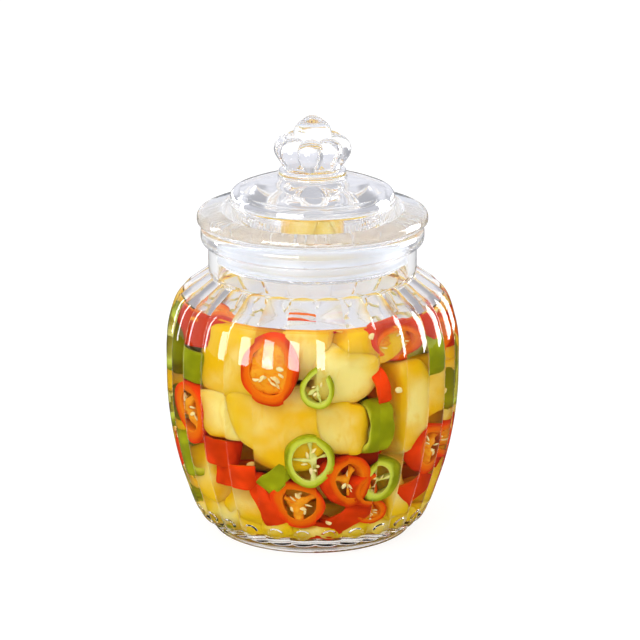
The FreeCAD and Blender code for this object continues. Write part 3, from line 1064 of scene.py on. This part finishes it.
def chilli_finishes(kind, settings):
    """The finishes of a red or green chilli's wall, its seed holder and its seeds."""
    name = kind.title() + " chilli"
    skin, flesh, pith = (getattr(settings, kind + part) for part in ("_skin", "_flesh", "_pith"))
    wall, nodes = new_finish(name + " wall")
    veins = nodes.grain(260.0, 4.0, None, 0.6)
    patches = nodes.grain(90.0, 2.0)
    depth = nodes.attribute("depth") + (veins - 0.5) * 0.35
    shade = nodes.smooth(patches + (nodes.attribute("tone") - 0.5) * 0.5, 0.25, 0.8)
    rind = nodes.blend(shade, shaded(skin, 0.7), shaded(skin, 1.25, 0.004))
    inner = nodes.blend(nodes.smooth(depth, 0.7, 1.25) * 0.65, flesh, pith)
    body = nodes.principled({
        "Base Color": nodes.blend(nodes.smooth(depth, 0.12, 0.62), rind, inner),
        "Roughness": 0.18 + nodes.smooth(depth, 0.1, 0.5) * 0.25,
        "IOR": 1.03,
        "Subsurface Weight": 0.08,
        "Subsurface Radius": (0.8, 0.3, 0.05),
        "Subsurface Scale": 0.003,
        "Normal": nodes.bump(veins, 0.0002, 0.5),
    })
    nodes.output(body)
    core, nodes = new_finish(name + " pith")
    fibres = nodes.grain(420.0, 4.0, None, 1.0)
    body = nodes.principled({
        "Base Color": nodes.blend(nodes.smooth(fibres, 0.2, 0.55), flesh, pith),
        "Roughness": 0.4,
        "IOR": 1.1,
        "Normal": nodes.bump(fibres, 0.0004, 0.7),
    })
    nodes.output(body)
    kernel, nodes = new_finish(name + " seed")
    pits = nodes.grain(900.0, 2.0)
    body = nodes.principled({
        "Base Color": nodes.blend(
            nodes.smooth(pits, 0.3, 0.75), settings.seed_tint, shaded(settings.seed_tint, 1.15)
        ),
        "Roughness": 0.35,
        "IOR": 1.12,
        "Normal": nodes.bump(pits, 0.0001, 0.6),
    })
    nodes.output(body)
    return [wall, core, kernel]


class PICKLE_OT_red_chillies(bpy.types.Operator):
    """Slice the red chillies and sink them in the brine"""

    bl_idname = "pickle_jar.red_chillies"
    bl_label = "Red Chillies"

    def execute(self, context):
        settings = context.scene.jar_pickles
        finishes = chilli_finishes("red", settings)
        shapes = [
            chilli_slice(finishes, 3, 3.6 * MM, 0.03, 8.1 * MM, [(90, 0.9), (210, 0.8), (330, 0.8)], 16),
            chilli_slice(finishes, 4, 4.2 * MM, 0.05, 3.4 * MM, [(60, 0.7), (180, 0.9), (300, 0.6)], 6),
            chilli_slice(finishes, 5, 4.0 * MM, 0.06, 3.2 * MM, [(30, 0.8), (150, 0.6), (270, 0.7)], 5),
        ]
        spots, top = FRONT_REDS + scattered(settings)[1], cavity.level + 1.2 * MM
        strew("red_chillies", shapes, SLICE_USUAL, spots, finishes, top, 0.45 * MM)
        return {"FINISHED"}


class PICKLE_OT_green_chillies(bpy.types.Operator):
    """Slice the green chillies and sink them in the brine"""

    bl_idname = "pickle_jar.green_chillies"
    bl_label = "Green Chillies"

    def execute(self, context):
        settings = context.scene.jar_pickles
        finishes = chilli_finishes("green", settings)
        cross = [(10, 0.8), (90, 0.4), (172, 0.8), (270, 0.4)]
        shapes = [
            chilli_slice(finishes, 6, 3.0 * MM, 0.02, 2.3 * MM, cross, 6),
            chilli_slice(finishes, 8, 4.2 * MM, 0.04, 1.9 * MM, [(30, 0.8), (150, 0.7), (270, 0.8)], 4),
            chilli_slice(finishes, 9, 3.0 * MM, 0.05, 2.6 * MM, [(200, 0.9), (290, 0.8)], 3, (38, 78)),
        ]
        spots, top = FRONT_GREENS + scattered(settings)[2], cavity.level + 0.8 * MM
        strew("green_chillies", shapes, SLICE_USUAL, spots, finishes, top, 0.45 * MM)
        return {"FINISHED"}


class PICKLE_OT_seeds(bpy.types.Operator):
    """Let loose chilli seeds drift in the brine"""

    bl_idname = "pickle_jar.seeds"
    bl_label = "Loose Seeds"

    def execute(self, context):
        settings = context.scene.jar_pickles
        dice = random.Random(settings.toss + 1)
        spots = [
            Spot(number, *place, (3.6, 2.9, 1), roll=40 * number, tone=0.6)
            for number, place in enumerate(FRONT_SEEDS)
        ]
        for number in range(settings.loose_seeds):
            up = dice.choice((dice.uniform(10, 18), dice.uniform(18, 102), 102.6))
            around, inset, roll = dice.uniform(0, 360), dice.choice((1.6, 2.5, 9)), dice.uniform(0, 360)
            yaw, pitch = dice.uniform(-40, 40), dice.uniform(-40, 40)
            spots.append(Spot(number, around, up, inset, (3.2, 2.6, 1), roll=roll, yaw=yaw, pitch=pitch))
        finish = bpy.data.materials.get("Red chilli seed") or chilli_finishes("red", settings)[2]
        shapes = [chilli_seed(seed) for seed in range(4)]
        strew("loose_seeds", shapes, SEED_USUAL, spots, [finish], cavity.level - 0.4 * MM)
        return {"FINISHED"}


# ---------------------------------------------------------------- studio

TABLE_RADIUS = 4.0
TABLE_GAP = 0.2 * MM
# The light cards: direction, distance, width, lowest and highest edge.
CARDS = {
    "front_card": (-31, 0.8, 0.53, 0.05, 0.42),
    "right_card": (116, 0.8, 0.40, 0.004, 0.60),
    "left_card": (-112, 0.8, 0.10, 0.004, 0.60),
}
# The lamp: direction, rise, distance and side.
KEY_LAMP = (-40, 42, 1.3, 0.9)
# The lens and the film's width in millimetres, the sideways shift and the aim's part of the height.
LENS = 177.0
FILM = 36.0
SHIFT = 0.0117
AIM = 0.503

def light_card(name, around, distance, wide, low, high, glow):
    """A bright card that only reflections see."""
    deselect()
    turn = math.radians(around)
    bpy.ops.mesh.primitive_plane_add(
        size=1, location=(distance * math.sin(turn), -distance * math.cos(turn), (low + high) / 2)
    )
    card = bpy.context.object
    card.rotation_euler = (math.pi / 2, 0, turn)
    card.scale = (wide, high - low, 1)
    settle(card)
    edit(card)
    bpy.ops.mesh.bevel(offset=0.02, segments=3, affect="VERTICES")
    leave()
    card.name = name
    finish, nodes = new_finish(name)
    nodes.output(nodes.add("ShaderNodeEmission", None, {"Color": grey(1), "Strength": glow}))
    card.data.materials.append(finish)
    for ray in ("camera", "diffuse", "transmission", "volume_scatter", "shadow"):
        setattr(card, "visible_" + ray, False)


def plain_room(settings):
    """A white room for the eye, a soft even light for the pieces, and darker far sides for the glass."""
    world = bpy.data.worlds.new("White studio")
    bpy.context.scene.world = world
    nodes = Nodes(world)
    across, along, up = nodes.parts(nodes.add("ShaderNodeTexCoord", output="Generated"))
    around = across.maths("ARCTAN2", along) * 4.0
    bands = nodes.smooth(around.maths("COSINE") * -1.0, 0.25, 0.9) * 0.7
    roof = nodes.smooth(up, 0.22, 0.6)
    edge = bands.maths("MAXIMUM", roof * 0.45) * settings.room_edge
    soft = nodes.ray("Is Diffuse Ray").maths("MAXIMUM", nodes.ray("Is Shadow Ray"))
    seen = 1.0 - edge
    plain = seen + (settings.room_light - seen) * soft
    ahead = nodes.smooth(along, 0.7, 1.0)
    dim = settings.room_mirror + ahead * (1.0 - settings.room_mirror)
    plain = plain + (dim - plain) * first_mirror(nodes)
    eye = nodes.ray("Is Camera Ray")
    strength = plain + (1.0 - plain) * eye
    clear = nodes.blend(eye.maths("MAXIMUM", soft), settings.room_tint, (1, 1, 1))
    light = nodes.add("ShaderNodeBackground", None, {"Color": clear, "Strength": strength})
    nodes.add("ShaderNodeOutputWorld", None, {"Surface": light})


def white_floor():
    """A pale table that the eye sees white and that keeps a soft shadow."""
    deselect()
    bpy.ops.mesh.primitive_circle_add(
        vertices=96, radius=TABLE_RADIUS, fill_type="NGON", location=(0, 0, -TABLE_GAP)
    )
    floor = bpy.context.object
    settle(floor)
    edit(floor)
    bpy.ops.mesh.inset(thickness=TABLE_RADIUS * 0.75)
    bpy.ops.mesh.subdivide(number_cuts=2)
    leave()
    floor.name = "table_top"
    finish, nodes = new_finish("White table")
    seen = nodes.ray("Is Camera Ray").maths("MAXIMUM", nodes.ray("Is Glossy Ray"))
    matt = nodes.add("ShaderNodeBsdfDiffuse", None, {"Color": grey(0.8), "Roughness": 0.4})
    lit = nodes.add("ShaderNodeBsdfDiffuse", None, {"Color": grey(0.28)})
    glow = nodes.add("ShaderNodeEmission", None, {"Color": grey(1), "Strength": 0.80})
    white = nodes.add("ShaderNodeAddShader", None, {0: lit, 1: glow})
    dull = nodes.add("ShaderNodeBsdfDiffuse", None, {"Color": grey(0.06)})
    nodes.output(nodes.mix(first_mirror(nodes), nodes.mix(seen, matt, white), dull))
    floor.data.materials.append(finish)


def soft_lamp(name, around, rise, distance, size, power):
    lamp = bpy.data.lights.new(name, "AREA")
    lamp.shape = "SQUARE"
    lamp.size = size
    lamp.energy = power
    item = bpy.data.objects.new(name, lamp)
    turn, lift = math.radians(around), math.radians(rise)
    way = Vector((math.sin(turn) * math.cos(lift), -math.cos(turn) * math.cos(lift), math.sin(lift)))
    item.location = way * distance + Vector((0, 0, 0.09))
    item.rotation_euler = way.to_track_quat("Z", "Y").to_euler()
    item.visible_glossy = False
    item.visible_transmission = False
    bpy.context.scene.collection.objects.link(item)


class PICKLE_OT_studio(bpy.types.Operator):
    """Set up the white room, the table, the lamp, the light cards and the camera"""

    bl_idname = "pickle_jar.studio"
    bl_label = "Studio"

    def execute(self, context):
        settings = context.scene.jar_studio
        scene = context.scene
        plain_room(settings)
        white_floor()
        soft_lamp("key_lamp", *KEY_LAMP, settings.key_power)
        for name, place in CARDS.items():
            light_card(name, *place, settings.card_glow)
        camera = bpy.data.cameras.new("camera")
        camera.lens = LENS
        camera.sensor_width = FILM
        camera.shift_x = SHIFT
        camera.clip_start = 0.05
        item = bpy.data.objects.new("camera", camera)
        lift = settings.camera_height
        way = Vector((0, -math.cos(lift), math.sin(lift)))
        item.location = way * settings.camera_distance + Vector((0, 0, CAD_BOX[1].z * AIM))
        item.rotation_euler = way.to_track_quat("Z", "Y").to_euler()
        scene.collection.objects.link(item)
        scene.camera = item
        scene.view_settings.view_transform = "Standard"
        for kind in ("max", "transmission", "glossy"):
            setattr(scene.cycles, kind + "_bounces", BOUNCES)
        scene.cycles.transparent_max_bounces = BOUNCES
        return {"FINISHED"}


# ---------------------------------------------------------------- panel


class PICKLE_PT_panel(bpy.types.Panel):
    bl_idname = "PICKLE_PT_panel"
    bl_label = "Pickle Jar"
    bl_space_type = "VIEW_3D"
    bl_region_type = "UI"
    bl_category = "Pickle Jar"

    def draw(self, context):
        for name, group in SETTINGS.items():
            box = self.layout.box()
            for prop in group.__annotations__:
                box.prop(getattr(context.scene, name), prop)
        for operator in OPERATORS:
            self.layout.operator(operator.bl_idname)


OPERATORS = (
    PICKLE_OT_glass,
    PICKLE_OT_brine,
    PICKLE_OT_chunks,
    PICKLE_OT_red_chillies,
    PICKLE_OT_green_chillies,
    PICKLE_OT_seeds,
    PICKLE_OT_studio,
)
SETTINGS = {
    "jar_glass": GlassSettings,
    "jar_brine": BrineSettings,
    "jar_pickles": PickleSettings,
    "jar_studio": StudioSettings,
}


def register():
    for item in (*SETTINGS.values(), *OPERATORS, PICKLE_PT_panel):
        bpy.utils.register_class(item)
    for name, group in SETTINGS.items():
        setattr(bpy.types.Scene, name, PointerProperty(type=group))


def unregister():
    for name in SETTINGS:
        delattr(bpy.types.Scene, name)
    for item in (PICKLE_PT_panel, *reversed(OPERATORS), *SETTINGS.values()):
        bpy.utils.unregister_class(item)


def main():
    register()
    deselect()
    bpy.ops.pickle_jar.glass()
    bpy.ops.pickle_jar.brine()
    bpy.ops.pickle_jar.chunks()
    bpy.ops.pickle_jar.red_chillies()
    bpy.ops.pickle_jar.green_chillies()
    bpy.ops.pickle_jar.seeds()
    bpy.ops.pickle_jar.studio()


if __name__ == "__main__":
    main()
